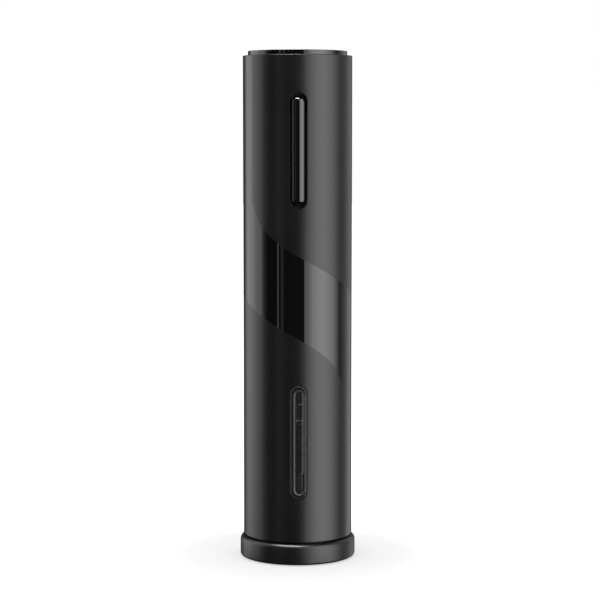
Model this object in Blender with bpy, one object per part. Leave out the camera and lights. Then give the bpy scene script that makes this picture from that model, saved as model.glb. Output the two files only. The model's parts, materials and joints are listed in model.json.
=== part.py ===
# Cordless electric wine opener: a slim upright cylinder standing on its own foil cutter.
# Blender 4.5, metres, +Z up, origin at the centre of the underside, front towards -Y.
import math

import bmesh
import bpy
from mathutils import Matrix, Vector

mm = 0.001

# ---- driving dimensions, in millimetres ----
bodyRadius = 24.0
wall = 1.8
boreRadius = bodyRadius - wall
bodyBottom = 10.0
bodyTop = 221.5
totalHeight = 223.5
capRadius = 21.75
ringRadius = 25.5            # foil cutter, the widest part
ringTop = 9.4
footHeight = 0.3             # how far the rubber foot stands below the ring
gap = 0.3                    # air between pieces that touch
insideRadius = boreRadius - gap

buttonZ = 180.2              # middle of the rocker and its pivot
buttonHole = (7.6, 50.0)     # width and height of the pill-shaped holes in the body
buttonSize = (6.2, 47.1)
windowZ = 54.0
windowHole = (7.6, 50.2)
pivotY = -18.6
pivotPin = 0.7

mouthRadius = 16.5           # room for a bottle's neck
mouthLow = 10.6
seatZ = 63.0                 # top of the shelf that the bottle's lip stops under
shelfThick = 1.6
corkRadius = 12.4
sleeveTop = 99.0
flangeThick = 1.6

wormTip = 30.0
wormRadius = 3.3             # from the axis to the middle of the wire
wormWire = 1.3
wormPitch = 9.6
wormStraight = 92.0          # where the helix starts to run in to the axis
wormTop = 102.6
hubLow = 100.0
hubTop = 106.6
hubRadius = 5.6
outputShaft = 2.9

gearModule = 0.6
sunTeeth = 9
planetTeeth = 18
ringTeeth = 45
backlash = 0.16              # taken off each tooth and added to each space of the ring
planetOrbit = gearModule * (sunTeeth + planetTeeth) / 2
planetPin = 1.15
planetThick = 3.6
gearboxRadius = 16.6
gearboxLow = 107.9
gearboxCover = 2.3
ringGearLow = gearboxLow + gearboxCover + gap
ringGearTop = 124.5
stageTwoZ = 113.2            # underside of the planets beside the worm
stageOneZ = 119.6            # underside of the planets beside the motor

motorRadius = 12.2
motorBottom = 127.0
motorTop = 152.0
endCapTop = 154.4
shaftRadius = 1.0
screwOrbit = 8.5

cellRadius = 7.0
cellOffset = 7.6
cellBottom = 162.0
cellTop = 211.6
holderLow = 160.0
holderTop = 212.4

wheelRadius = 4.2
wheelOrbit = 18.3            # the four cutting edges meet a circle of radius 14.1
wheelZ = 4.9
wheelPin = 0.85

largeSteps = 48
midSteps = 32
smallSteps = 12


def clearScene():
    for ob in list(bpy.data.objects):
        bpy.data.objects.remove(ob, do_unlink=True)


def makeMaterial(name, colour, rough, metal=0.0, clear=0.0):
    mat = bpy.data.materials.new(name)
    mat.use_nodes = True
    shader = mat.node_tree.nodes["Principled BSDF"]
    shader.inputs["Base Color"].default_value = (*colour, 1.0)
    shader.inputs["Roughness"].default_value = rough
    shader.inputs["Metallic"].default_value = metal
    shader.inputs["Transmission Weight"].default_value = clear
    return mat


def makeObject(name, bm, mat, origin=(0.0, 0.0, 0.0), sharp=35.0):
    """Turns a bmesh drawn in millimetres about `origin` into an object placed there."""
    bmesh.ops.scale(bm, vec=(mm, mm, mm), verts=bm.verts)
    bmesh.ops.recalc_face_normals(bm, faces=bm.faces)
    mesh = bpy.data.meshes.new(name)
    bm.to_mesh(mesh)
    bm.free()
    mesh.materials.append(mat)
    mesh.shade_smooth()
    mesh.set_sharp_from_angle(angle=math.radians(sharp))
    ob = bpy.data.objects.new(name, mesh)
    ob.location = Vector(origin) * mm
    bpy.context.collection.objects.link(ob)
    return ob


def turn(bm, profile, steps):
    """Spins a closed outline of (radius, height) points once round Z."""
    verts = [bm.verts.new((r, 0.0, z)) for r, z in profile]
    edges = [bm.edges.new((a, b)) for a, b in zip(verts, verts[1:] + verts[:1])]
    bmesh.ops.spin(bm, geom=verts + edges, cent=(0, 0, 0), axis=(0, 0, 1), dvec=(0, 0, 0),
                   angle=math.tau, steps=steps, use_merge=True, use_duplicate=False)
    bmesh.ops.remove_doubles(bm, verts=bm.verts, dist=1e-4)
    bmesh.ops.dissolve_degenerate(bm, edges=bm.edges, dist=1e-5)


def turned(name, profile, mat, steps=midSteps, origin=(0.0, 0.0, 0.0)):
    bm = bmesh.new()
    turn(bm, profile, steps)
    loose = [f for f in bm.faces if f.calc_area() < 1e-9]
    bmesh.ops.delete(bm, geom=loose, context="FACES")
    return makeObject(name, bm, mat, origin)


def extrudeLoops(bm, loops, low, high):
    """Fills an outer loop and its holes, given as (x, y) points, and raises them from low to high."""
    edges = []
    for points in loops:
        verts = [bm.verts.new((x, y, low)) for x, y in points]
        edges += [bm.edges.new((a, b)) for a, b in zip(verts, verts[1:] + verts[:1])]
    filled = bmesh.ops.triangle_fill(bm, edges=edges, use_beauty=True)
    faces = [f for f in filled["geom"] if isinstance(f, bmesh.types.BMFace)]
    raised = bmesh.ops.extrude_face_region(bm, geom=faces, use_keep_orig=True)
    moved = [v for v in raised["geom"] if isinstance(v, bmesh.types.BMVert)]
    bmesh.ops.translate(bm, vec=(0, 0, high - low), verts=moved)


def plate(name, loops, low, high, mat, origin=(0.0, 0.0, 0.0)):
    bm = bmesh.new()
    extrudeLoops(bm, loops, low, high)
    return makeObject(name, bm, mat, origin)


def toFront(bm):
    """Stands a plate drawn in XY up, so that its y runs up Z and its thickness runs towards -Y."""
    bmesh.ops.rotate(bm, cent=(0, 0, 0), matrix=Matrix.Rotation(math.radians(90), 3, "X"), verts=bm.verts)


def frontPlate(name, loops, back, front, mat, z):
    """A plate facing the front, between the depths `back` and `front`, both measured towards -Y."""
    bm = bmesh.new()
    extrudeLoops(bm, loops, back, front)
    toFront(bm)
    return makeObject(name, bm, mat, (0.0, 0.0, z))


def rectangle(halfWidth, halfHeight):
    x, y = halfWidth, halfHeight
    return [(-x, -y), (x, -y), (x, y), (-x, y)]


def circle(radius, steps=smallSteps, x=0.0, y=0.0):
    angles = [math.tau * i / steps for i in range(steps)]
    return [(x + radius * math.cos(a), y + radius * math.sin(a)) for a in angles]


def arc(radius, start, end, steps):
    angles = [math.radians(start + (end - start) * i / steps) for i in range(steps + 1)]
    return [(radius * math.cos(a), radius * math.sin(a)) for a in angles]


def pill(width, height, steps=8):
    r = width / 2
    rise = height / 2 - r
    top = [(x, y + rise) for x, y in arc(r, 0, 180, steps)]
    bottom = [(x, y - rise) for x, y in arc(r, 180, 360, steps)]
    return top + bottom


def roundedSquare(half, radius, steps=5):
    centre = half - radius
    points = []
    for quarter, (sx, sy) in enumerate([(1, 1), (-1, 1), (-1, -1), (1, -1)]):
        corner = arc(radius, 90 * quarter, 90 * quarter + 90, steps)
        points += [(x + sx * centre, y + sy * centre) for x, y in corner]
    return points


def box(bm, low, high):
    size = Vector(high) - Vector(low)
    middle = (Vector(high) + Vector(low)) / 2
    made = bmesh.ops.create_cube(bm, size=1.0)
    bmesh.ops.scale(bm, vec=size, verts=made["verts"])
    bmesh.ops.translate(bm, vec=middle, verts=made["verts"])


def cylinder(bm, radius, low, high, x=0.0, y=0.0, steps=smallSteps):
    made = bmesh.ops.create_cone(bm, cap_ends=True, segments=steps, radius1=radius, radius2=radius,
                                 depth=high - low)
    bmesh.ops.translate(bm, vec=(x, y, (low + high) / 2), verts=made["verts"])


def hideCutter(ob):
    ob.hide_render = True
    ob.display_type = "WIRE"


def boolean(target, tool, operation="DIFFERENCE"):
    mod = target.modifiers.new(tool.name, "BOOLEAN")
    mod.operation = operation
    mod.object = tool
    hideCutter(tool)


def cutWith(target, name, bm, origin=(0.0, 0.0, 0.0), operation="DIFFERENCE"):
    tool = makeObject(name, bm, target.data.materials[0], origin)
    boolean(target, tool, operation)


def pillCut(target, name, width, height, back, front, z):
    """Cuts a pill-shaped hole through the front of a shell."""
    bm = bmesh.new()
    extrudeLoops(bm, [pill(width, height)], back, front)
    toFront(bm)
    cutWith(target, name, bm, (0.0, 0.0, z))


def crossBore(bm, radius, half):
    """A cylinder lying along X, for the rocker's pivot."""
    cylinder(bm, radius, -half, half)
    bmesh.ops.rotate(bm, cent=(0, 0, 0), matrix=Matrix.Rotation(math.radians(90), 3, "Y"), verts=bm.verts)


def polar(radius, degrees):
    return radius * math.cos(math.radians(degrees)), radius * math.sin(math.radians(degrees))


# ---- materials ----
softBlack = makeMaterial("soft_black", (0.018, 0.018, 0.019), 0.42)
glossBlack = makeMaterial("gloss_black", (0.008, 0.008, 0.009), 0.08)
baseBlack = makeMaterial("base_black", (0.014, 0.014, 0.015), 0.30)
innerBlack = makeMaterial("inner_black", (0.02, 0.02, 0.021), 0.5)
smokeClear = makeMaterial("smoke_clear", (0.10, 0.10, 0.11), 0.04, clear=0.9)
rubberBlack = makeMaterial("rubber_black", (0.015, 0.015, 0.015), 0.8)
gearWhite = makeMaterial("gear_white", (0.78, 0.77, 0.72), 0.45)
steel = makeMaterial("steel", (0.62, 0.62, 0.63), 0.28, 1.0)
motorZinc = makeMaterial("motor_zinc", (0.55, 0.56, 0.57), 0.38, 1.0)
bronze = makeMaterial("bronze", (0.45, 0.28, 0.12), 0.4, 1.0)
copper = makeMaterial("copper", (0.72, 0.34, 0.18), 0.35, 1.0)
boardGreen = makeMaterial("board_green", (0.02, 0.13, 0.05), 0.45)
cellJacket = makeMaterial("cell_jacket", (0.10, 0.11, 0.12), 0.3, 0.4)
wireRed = makeMaterial("wire_red", (0.5, 0.03, 0.02), 0.5)


# ---- outer shell ----
def makeBody():
    chamfer = 0.5
    bottomChamfer = 0.3
    profile = [(boreRadius, bodyBottom), (bodyRadius - bottomChamfer, bodyBottom),
               (bodyRadius, bodyBottom + bottomChamfer), (bodyRadius, bodyTop - chamfer),
               (bodyRadius - chamfer, bodyTop), (boreRadius, bodyTop)]
    tube = turned("body_tube", profile, softBlack, largeSteps)
    back = 15.0
    front = 26.0
    pillCut(tube, "button_hole_cutter", *buttonHole, back, front, buttonZ)
    pillCut(tube, "window_hole_cutter", *windowHole, back, front, windowZ)


def makeWindow():
    lensFront = 24.0
    lensStep = 21.1          # the flange behind the body's wall starts here
    lensBack = 20.4
    joint = 0.3              # how far the two halves of the shape run into each other
    flange = (10.6, 53.2)
    bm = bmesh.new()
    outline = pill(windowHole[0] - 2 * gap, windowHole[1] - 2 * gap)
    extrudeLoops(bm, [outline], lensStep - joint, lensFront)
    toFront(bm)
    lens = makeObject("window_lens", bm, smokeClear, (0.0, 0.0, windowZ))
    rim = bmesh.new()
    extrudeLoops(rim, [pill(*flange)], lensBack, lensStep)
    toFront(rim)
    cutWith(lens, "lens_flange_tool", rim, (0.0, 0.0, windowZ), "UNION")


# ---- rocker button, its pivot and the switches behind it ----
def makeRocker():
    flange = (9.2, 52.0)
    flangeBack = 19.6
    flangeFront = 20.4
    crown = 24.7             # stands a little proud of the body
    crownRound = 1.3
    joint = 0.3
    origin = Vector((0.0, pivotY, buttonZ))
    bm = bmesh.new()
    extrudeLoops(bm, [pill(*buttonSize)], flangeFront - joint, crown)
    bm.normal_update()
    front = [e for e in bm.edges if all(abs(v.co.z - crown) < 1e-4 for v in e.verts)]
    rim = [e for e in front if any(abs(f.normal.z) < 0.5 for f in e.link_faces)]
    bmesh.ops.bevel(bm, geom=rim, offset=crownRound, offset_type="OFFSET", segments=3, profile=0.5,
                    affect="EDGES")
    toFront(bm)
    bmesh.ops.translate(bm, vec=(0, -pivotY, 0), verts=bm.verts)
    rocker = makeObject("rocker_button", bm, glossBlack, origin)
    rear = bmesh.new()
    extrudeLoops(rear, [pill(*flange)], flangeBack, flangeFront)
    toFront(rear)
    bmesh.ops.translate(rear, vec=(0, -pivotY, 0), verts=rear.verts)
    cutWith(rocker, "rocker_flange_tool", rear, origin, "UNION")
    lug = bmesh.new()
    box(lug, (-2.6, -1.3, -1.4), (2.6, 1.2, 1.4))
    cutWith(rocker, "rocker_lug_tool", lug, origin, "UNION")
    bore = bmesh.new()
    crossBore(bore, pivotPin + 0.1, 4.0)
    cutWith(rocker, "rocker_bore_cutter", bore, origin)

    pin = bmesh.new()
    crossBore(pin, pivotPin, 7.4)
    makeObject("rocker_pin", pin, steel, origin)


def makeCradle():
    back = 17.4
    front = 19.9
    loops = [rectangle(8.0, 29.5), rectangle(5.2, 27.0)]
    cradle = frontPlate("button_cradle", loops, back, front, innerBlack, buttonZ)
    bore = bmesh.new()
    crossBore(bore, pivotPin + gap, 9.0)
    cutWith(cradle, "cradle_bore_cutter", bore, (0.0, pivotY, buttonZ))


def makeSwitches():
    boardBack = 16.2
    boardFront = 17.0
    caseFront = 18.2
    stemFront = 18.7
    spacing = 18.0           # each switch's distance from the pivot
    half = 3.0
    frontPlate("switch_board", [rectangle(9.0, 29.5)], boardBack, boardFront, boardGreen, buttonZ)
    for name, side in (("switch_upper", 1), ("switch_lower", -1)):
        z = buttonZ + spacing * side
        switch = frontPlate(name, [rectangle(half, half)], boardFront + gap, caseFront, innerBlack, z)
        stem = bmesh.new()
        cylinder(stem, 1.6, caseFront - 0.2, stemFront)
        toFront(stem)
        cutWith(switch, name + "_stem_tool", stem, (0.0, 0.0, z), "UNION")


# ---- battery cap, its bayonet, and the cells ----
skirtOuter = 19.7
lugRadius = 21.2
lugLow = 213.6
lugTop = 215.1
lugTurn = 120                # degrees from one lug to the next
discLow = 218.6
grooveLow = 219.0
grooveTop = 220.5


def makeCap():
    grooveRadius = 20.4
    skirtInner = 18.5
    boss = 16.0
    underDisc = 220.9
    edge = 0.6
    dish = 0.35
    dishRadius = 18.2
    profile = [(0.0, lugLow), (boss, lugLow), (boss, underDisc), (skirtInner, underDisc),
               (skirtInner, lugLow), (lugRadius, lugLow), (lugRadius, lugTop), (skirtOuter, lugTop),
               (skirtOuter, discLow), (capRadius, discLow), (capRadius, grooveLow),
               (grooveRadius, grooveLow), (grooveRadius, grooveTop), (capRadius, grooveTop),
               (capRadius, totalHeight - edge), (capRadius - edge / 3, totalHeight - edge / 3),
               (capRadius - edge, totalHeight), (dishRadius + edge, totalHeight),
               (dishRadius, totalHeight - dish), (0.0, totalHeight - dish)]
    cap = turned("battery_cap", profile, glossBlack)
    between = 48             # half the angle cleared between two lugs
    for i in range(3):
        centre = lugTurn * (i + 0.5)
        outside = arc(lugRadius + 0.6, centre - between, centre + between, 8)
        inside = arc(skirtOuter + 0.15, centre + between, centre - between, 8)
        sector = bmesh.new()
        extrudeLoops(sector, [outside + inside], lugLow - 0.5, lugTop + gap)
        cutWith(cap, "lug_cutter_%d" % i, sector)


def makeCapLock():
    """The ring in the body's mouth: the lugs drop through its notches and turn under it."""
    notchRadius = lugRadius + 0.25
    halfNotch = 15
    inner = []
    for i in range(3):
        centre = lugTurn * i + 30          # where a lug stands when the cap is unlocked
        inner += arc(notchRadius, centre - halfNotch, centre + halfNotch, 4)
        inner += arc(skirtOuter + gap, centre + halfNotch, centre + lugTurn - halfNotch, 8)
    plate("cap_lock_ring", [circle(insideRadius, 36), inner], lugTop + gap, discLow - gap - 0.1, innerBlack)
    sealRadius = 21.15
    sealMiddle = (grooveLow + grooveTop) / 2
    seal = [(sealRadius + x, sealMiddle + z) for x, z in circle(0.45, 6)]
    turned("cap_seal", seal, rubberBlack)
    contactTop = lugLow - gap
    contact = [(0.0, contactTop - 0.6), (15.4, contactTop - 0.6), (15.4, contactTop), (0.0, contactTop)]
    turned("cap_contact", contact, bronze)


def makeBatteries():
    spots = [(sx * cellOffset, sy * cellOffset) for sx in (-1, 1) for sy in (-1, 1)]
    bays = [circle(cellRadius + 0.35, 24, x, y) for x, y in spots]
    plate("battery_holder", [roundedSquare(15.85, 8.25)] + bays, holderLow, holderTop, innerBlack)
    length = cellTop - cellBottom
    nub = 2.7
    shoulder = length - 0.9
    for i, (x, y) in enumerate(spots):
        outline = [(0.0, 0.0), (cellRadius, 0.0), (cellRadius, shoulder), (nub, shoulder), (nub, length),
                   (0.0, length)]
        nubUp = (x > 0) == (y > 0)
        if not nubUp:
            outline = [(r, length - z) for r, z in outline]
        turned("cell_%d" % (i + 1), outline, cellJacket, 20, (x, y, cellBottom))
        if nubUp:
            makeSpring("cell_spring_%d" % (i // 3 + 1), x, y)
    boardTop = holderLow - 0.6
    board = [(0.0, boardTop - 0.9), (15.6, boardTop - 0.9), (15.6, boardTop), (0.0, boardTop)]
    turned("contact_board", board, boardGreen)


def makeSpring(name, x, y):
    """Conical contact spring under a cell, of round wire."""
    wire = 0.25
    low = holderLow + 0.05
    high = cellBottom - gap - 0.3
    turns = 2.5
    count = 30
    wide = 4.6
    narrow = 2.2
    points = []
    for i in range(count + 1):
        t = i / count
        a = math.tau * turns * t
        r = wide + (narrow - wide) * t
        points.append((x + r * math.cos(a), y + r * math.sin(a), low + (high - low) * t))
    tube(name, points, [wire] * (count + 1), steel, 1)


def tube(name, points, radii, mat, resolution=2):
    """Round wire along a list of points in millimetres, with its own radius at each."""
    curve = bpy.data.curves.new(name, "CURVE")
    curve.dimensions = "3D"
    curve.bevel_depth = mm
    curve.bevel_resolution = resolution
    curve.use_fill_caps = True
    spline = curve.splines.new("POLY")
    spline.points.add(len(points) - 1)
    for target, place, radius in zip(spline.points, points, radii):
        target.co = (*(Vector(place) * mm), 1.0)
        target.radius = radius
    spline.use_smooth = True
    curve.materials.append(mat)
    ob = bpy.data.objects.new(name, curve)
    bpy.context.collection.objects.link(ob)
    return ob


# ---- bottle guide, cork sleeve and worm ----
slotWidth = 6.4              # upright slots behind the window, in the guide and the sleeve


def makeGuide():
    outer = mouthRadius + 1.7
    flangeLow = 14.8
    flangeTop = 16.8
    shelfOuter = 19.6
    shelfBore = corkRadius - 0.6
    underShelf = seatZ - shelfThick
    collarLow = seatZ - 2.4
    profile = [(mouthRadius + 1.2, mouthLow), (outer, mouthLow), (outer, flangeLow),
               (insideRadius, flangeLow), (insideRadius, flangeTop), (outer, flangeTop),
               (outer, collarLow), (shelfOuter, collarLow),
               (shelfOuter, seatZ), (shelfBore, seatZ), (shelfBore, underShelf), (mouthRadius, underShelf),
               (mouthRadius, mouthLow + 2.0)]
    guide = turned("bottle_guide", profile, innerBlack)
    slotLow = 31.0
    slotTop = 58.0
    pillCut(guide, "guide_slot_cutter", slotWidth, slotTop - slotLow, 14.0, 21.0, (slotLow + slotTop) / 2)
    seatThick = 1.8
    seatTop = underShelf - gap
    seatBore = corkRadius - 0.4
    seat = [(seatBore, seatTop - seatThick), (mouthRadius - gap, seatTop - seatThick),
            (mouthRadius - gap, seatTop), (seatBore, seatTop)]
    turned("lip_seat", seat, rubberBlack)


def makeSleeve():
    outer = corkRadius + 1.6
    underFlange = sleeveTop - flangeThick
    profile = [(corkRadius, seatZ + gap), (outer, seatZ + gap), (outer, underFlange),
               (insideRadius, underFlange), (insideRadius, sleeveTop), (corkRadius, sleeveTop)]
    sleeve = turned("cork_sleeve", profile, innerBlack)
    slotLow = 65.5
    slotTop = 78.5
    pillCut(sleeve, "sleeve_slot_cutter", slotWidth, slotTop - slotLow, 10.0, 16.0, (slotLow + slotTop) / 2)


def makeWorm():
    """Right-handed helix that narrows to a point and runs in to the axis under the hub."""
    perTurn = 10
    count = int((wormStraight - wormTip) / wormPitch * perTurn)
    taper = 10               # points over which the wire comes to its tip
    tipShare = 0.16          # the tip's thickness as a share of the wire's
    runIn = 7                # points over which the helix closes on the axis
    points = []
    radii = []
    for i in range(count + runIn + 1):
        a = math.tau * i / perTurn
        inward = max(0.0, (i - count) / runIn)
        r = wormRadius * (1 - inward) ** 1.5
        points.append((r * math.cos(a), r * math.sin(a), wormTip + i * wormPitch / perTurn))
        radii.append(wormWire * min(1.0, tipShare + (1 - tipShare) * i / taper))
    points.append((0.0, 0.0, wormTop))
    radii.append(wormWire)
    tube("worm", points, radii, steel, 1)


def makeHub():
    """Joins the worm, gripped in its lower bore, to the gearbox's output shaft in the upper one."""
    wormBore = wormWire + 0.35
    shaftBore = outputShaft + gap
    webHole = 1.2
    webLow = wormTop + gap
    webTop = webLow + 0.8
    hub = [(wormBore, hubLow), (4.4, hubLow), (hubRadius, hubLow + 1.4), (hubRadius, hubTop),
           (shaftBore, hubTop), (shaftBore, webTop), (webHole, webTop), (webHole, webLow), (wormBore, webLow)]
    turned("worm_hub", hub, motorZinc, 20)


# ---- planetary gearbox ----
def toothFlank(teeth, inner, outer, thickness):
    """Half of a tooth, from its root to its tip, as (angle from the tooth's centre, radius)."""
    pitch = gearModule * teeth / 2
    base = pitch * math.cos(math.radians(20))
    atPitch = math.tan(math.acos(base / pitch)) - math.acos(base / pitch)
    half = thickness / pitch / 2
    flank = []
    for r in (inner, outer):
        roll = math.acos(min(1.0, base / r))
        flank.append((half + atPitch - (math.tan(roll) - roll), r))
    return flank


def gearOutline(teeth, inner, outer, thickness, phase=0.0):
    points = []
    flank = toothFlank(teeth, inner, outer, thickness)
    for i in range(teeth):
        centre = math.tau * i / teeth + math.radians(phase)
        rising = [(centre - a, r) for a, r in flank]
        falling = [(centre + a, r) for a, r in reversed(flank)]
        points += [(r * math.cos(a), r * math.sin(a)) for a, r in rising + falling]
    return points


def outerGear(teeth, phase=0.0):
    """Outline of a gear with teeth pointing out, thinned so that the mesh runs free."""
    pitch = gearModule * teeth / 2
    thickness = math.pi * gearModule / 2 - backlash
    return gearOutline(teeth, pitch - 1.1 * gearModule, pitch + 0.75 * gearModule, thickness, phase)


def ringGear(phase):
    """Outline of the space inside the ring gear: its lobes are the gaps between the ring's teeth."""
    pitch = gearModule * ringTeeth / 2
    space = math.pi * gearModule / 2 + backlash
    return gearOutline(ringTeeth, pitch - 0.7 * gearModule, pitch + 1.1 * gearModule, space, phase)


def makeCarrier(name, discLow, planetLow, lowerOutline, lowerEnd):
    """A disc with three pins for planets above, and a shaft or a sun gear below."""
    radius = 11.4
    thick = 1.9
    joint = 0.5
    bm = bmesh.new()
    extrudeLoops(bm, [circle(radius, 32)], discLow, discLow + thick)
    carrier = makeObject(name, bm, gearWhite)
    for i in range(3):
        x, y = polar(planetOrbit, 120 * i)
        pin = bmesh.new()
        cylinder(pin, planetPin, discLow + joint, planetLow + planetThick + gap, x, y)
        cutWith(carrier, name + "_pin_tool_%d" % i, pin, operation="UNION")
    lower = bmesh.new()
    extrudeLoops(lower, [lowerOutline], lowerEnd, discLow + joint)
    cutWith(carrier, name + "_lower_tool", lower, operation="UNION")


def makePlanets(stage, low):
    step = 360 / planetTeeth
    for i in range(3):
        x, y = polar(planetOrbit, 120 * i)
        phase = 120 * i - step / 2
        loops = [outerGear(planetTeeth, phase), circle(planetPin + 0.13, 12)]
        plate("planet_%d_%s" % (stage, "abc"[i]), loops, 0.0, planetThick, gearWhite, (x, y, low))


def makeGearbox():
    underPlanets = 2.2       # from a carrier's underside to its planets
    bushBore = outputShaft + 0.2
    bushOuter = 5.0
    bushLow = gearboxLow - 0.6
    coverTop = gearboxLow + gearboxCover
    bore = bushOuter + gap
    cover = [(bore, gearboxLow), (gearboxRadius, gearboxLow), (gearboxRadius, coverTop), (bore, coverTop)]
    turned("gearbox_cover", cover, innerBlack)
    bush = [(bushBore, bushLow), (bushOuter, bushLow), (bushOuter, ringGearLow), (bushBore, ringGearLow)]
    turned("output_bush", bush, bronze, 24)
    ringLoops = [circle(gearboxRadius, 36), ringGear(180 / ringTeeth)]
    plate("ring_gear", ringLoops, ringGearLow, ringGearTop, gearWhite)
    shaftEnd = wormTop + gap + 0.8 + gap
    sun = outerGear(sunTeeth)
    makeCarrier("output_carrier", stageTwoZ - underPlanets, stageTwoZ, circle(outputShaft, 20), shaftEnd)
    makePlanets(2, stageTwoZ)
    makeCarrier("stage_carrier", stageOneZ - underPlanets, stageOneZ, sun, stageTwoZ + 0.2)
    makePlanets(1, stageOneZ)
    pinionLoops = [sun, circle(shaftRadius + 0.2, 12)]
    plate("motor_pinion", pinionLoops, stageOneZ + 0.2, ringGearTop - 0.5, steel)


def makeMotor():
    plateLow = ringGearTop + gap
    plateTop = motorBottom - gap
    screws = [polar(screwOrbit, 60), polar(screwOrbit, 240)]
    holes = [circle(1.35, 12, x, y) for x, y in screws]
    plate("motor_plate", [circle(gearboxRadius, 32), circle(4.0, 16)] + holes, plateLow, plateTop, innerBlack)
    edge = 0.6
    skin = 0.8
    floor = 1.2
    bore = 1.6
    inner = motorRadius - skin
    outline = [(bore, motorBottom), (motorRadius - edge, motorBottom), (motorRadius, motorBottom + edge),
               (motorRadius, motorTop), (inner, motorTop), (inner, motorBottom + floor),
               (bore, motorBottom + floor)]
    can = turned("motor_can", outline, motorZinc)
    headLow = plateLow - 1.1
    headTop = plateLow - gap
    screwEnd = motorBottom + 2.4
    screw = [(0.0, headLow), (1.9, headLow), (1.9, headTop), (1.0, headTop), (1.0, screwEnd), (0.0, screwEnd)]
    for i, (x, y) in enumerate(screws):
        screwHole = bmesh.new()
        cylinder(screwHole, 1.3, motorBottom - 1, motorBottom + 2, x, y)
        cutWith(can, "can_hole_cutter_%d" % i, screwHole)
        turned("motor_screw_%d" % (i + 1), screw, steel, 12, (x, y, 0.0))
    capLow = motorTop + gap
    capOuter = motorRadius - 0.1
    endCap = [(bore, capLow), (capOuter, capLow), (capOuter, endCapTop), (bore, endCapTop)]
    turned("motor_end_cap", endCap, innerBlack)


def makeRotor():
    shaftLow = stageOneZ + 0.6
    shaftTop = endCapTop - 0.6
    shaft = [(0.0, shaftLow), (shaftRadius, shaftLow), (shaftRadius, shaftTop), (0.0, shaftTop)]
    turned("motor_shaft", shaft, steel, 12)
    bore = shaftRadius + 0.25
    coilRadius = 8.6
    coilLow = 130.5
    coilTop = 146.0
    commutator = 2.8
    commutatorTop = 150.5
    armature = [(bore, coilLow), (coilRadius, coilLow), (coilRadius, coilTop), (commutator, coilTop + 0.5),
                (commutator, commutatorTop), (bore, commutatorTop)]
    turned("motor_armature", armature, copper, 20)


def makeFrames():
    """The two halves of the inner frame that clamp the gearbox between the sleeve and the cells."""
    inner = gearboxRadius + 0.4
    frameTop = 149.8
    for name, start in (("frame_left", 90), ("frame_right", 270)):
        outside = arc(insideRadius, start + 1, start + 179, 20)
        inside = arc(inner, start + 179, start + 1, 20)
        plate(name, [outside + inside], sleeveTop + gap, frameTop, innerBlack)


def makeWires():
    """From behind the switch board over the edge of the motor's end cap, on each side."""
    radius = 0.55
    route = [(4.0, -15.4, 152.2), (4.6, -14.2, 154.6), (6.0, -10.5, 156.2), (7.4, -6.0, 156.6),
             (8.0, -1.5, 155.3)]
    for name, side, mat in (("motor_wire_red", 1, wireRed), ("motor_wire_black", -1, rubberBlack)):
        points = [(side * x, y, z) for x, y, z in route]
        tube(name, points, [radius] * len(points), mat, 1)


# ---- foil cutter, which is also the base ----
cutterHole = 16.6
rimInner = 23.3


def makeCutterRing():
    low = footHeight
    fillet = 2.0
    edge = 0.6
    floorTop = 3.4
    padInner = 18.5
    padOuter = 23.5
    padTop = 1.2
    top = [(ringRadius - fillet + x, ringTop - fillet + y) for x, y in arc(fillet, 0, 90, 3)]
    bottom = [(ringRadius - edge + x, low + edge + y) for x, y in arc(edge, 270, 360, 2)]
    profile = [(cutterHole, low), (padInner, low), (padInner, padTop), (padOuter, padTop), (padOuter, low)]
    profile += bottom + top
    profile += [(rimInner, ringTop), (rimInner, floorTop), (cutterHole, floorTop)]
    ring = turned("foil_cutter_ring", profile, baseBlack, largeSteps)
    pad = [(padInner + gap, 0.0), (padOuter - gap, 0.0), (padOuter - gap, padTop - gap),
           (padInner + gap, padTop - gap)]
    turned("foot_pad", pad, rubberBlack)
    return ring


def makeCutterCover():
    """Holds the wheels' pins from above, with a spigot that pushes into the body."""
    low = 6.4
    top = 9.2
    spigotInner = 20.2
    spigotOuter = 21.7
    spigotTop = 14.0
    rim = rimInner - gap
    profile = [(cutterHole, low), (rim, low), (rim, top), (spigotOuter, top), (spigotOuter, spigotTop),
               (spigotInner, spigotTop), (spigotInner, top), (cutterHole, top)]
    return turned("foil_cutter_cover", profile, baseBlack)


def makeCutterWheels(ring, cover):
    bore = wheelPin + 0.08
    hub = 1.9
    hubHalf = 1.1
    rootHalf = 0.5
    edgeHalf = 0.05
    wheel = [(bore, -hubHalf), (hub, -hubHalf), (hub, -rootHalf), (wheelRadius, -edgeHalf),
             (wheelRadius, edgeHalf), (hub, rootHalf), (hub, hubHalf), (bore, hubHalf)]
    pinLow = 2.3
    pinTop = 7.9
    pin = [(0.0, pinLow), (wheelPin, pinLow), (wheelPin, pinTop), (0.0, pinTop)]
    for i in range(4):
        x, y = polar(wheelOrbit, 45 + 90 * i)
        turned("cutting_wheel_%d" % (i + 1), wheel, steel, 16, (x, y, wheelZ))
        turned("wheel_pin_%d" % (i + 1), pin, steel, 16, (x, y, 0.0))
        for holder, low, high in ((ring, pinLow - gap, 4.0), (cover, 6.0, pinTop + gap)):
            pinHole = bmesh.new()
            cylinder(pinHole, wheelPin + gap, low, high, x, y)
            cutWith(holder, "%s_pin_cutter_%d" % (holder.name, i), pinHole)


clearScene()
makeBody()
makeWindow()
makeRocker()
makeCradle()
makeSwitches()
makeCap()
makeCapLock()
makeBatteries()
makeGuide()
makeSleeve()
makeWorm()
makeHub()
makeGearbox()
makeMotor()
makeRotor()
makeFrames()
makeWires()
cutterRing = makeCutterRing()
cutterCover = makeCutterCover()
makeCutterWheels(cutterRing, cutterCover)
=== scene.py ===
import json
import math

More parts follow.
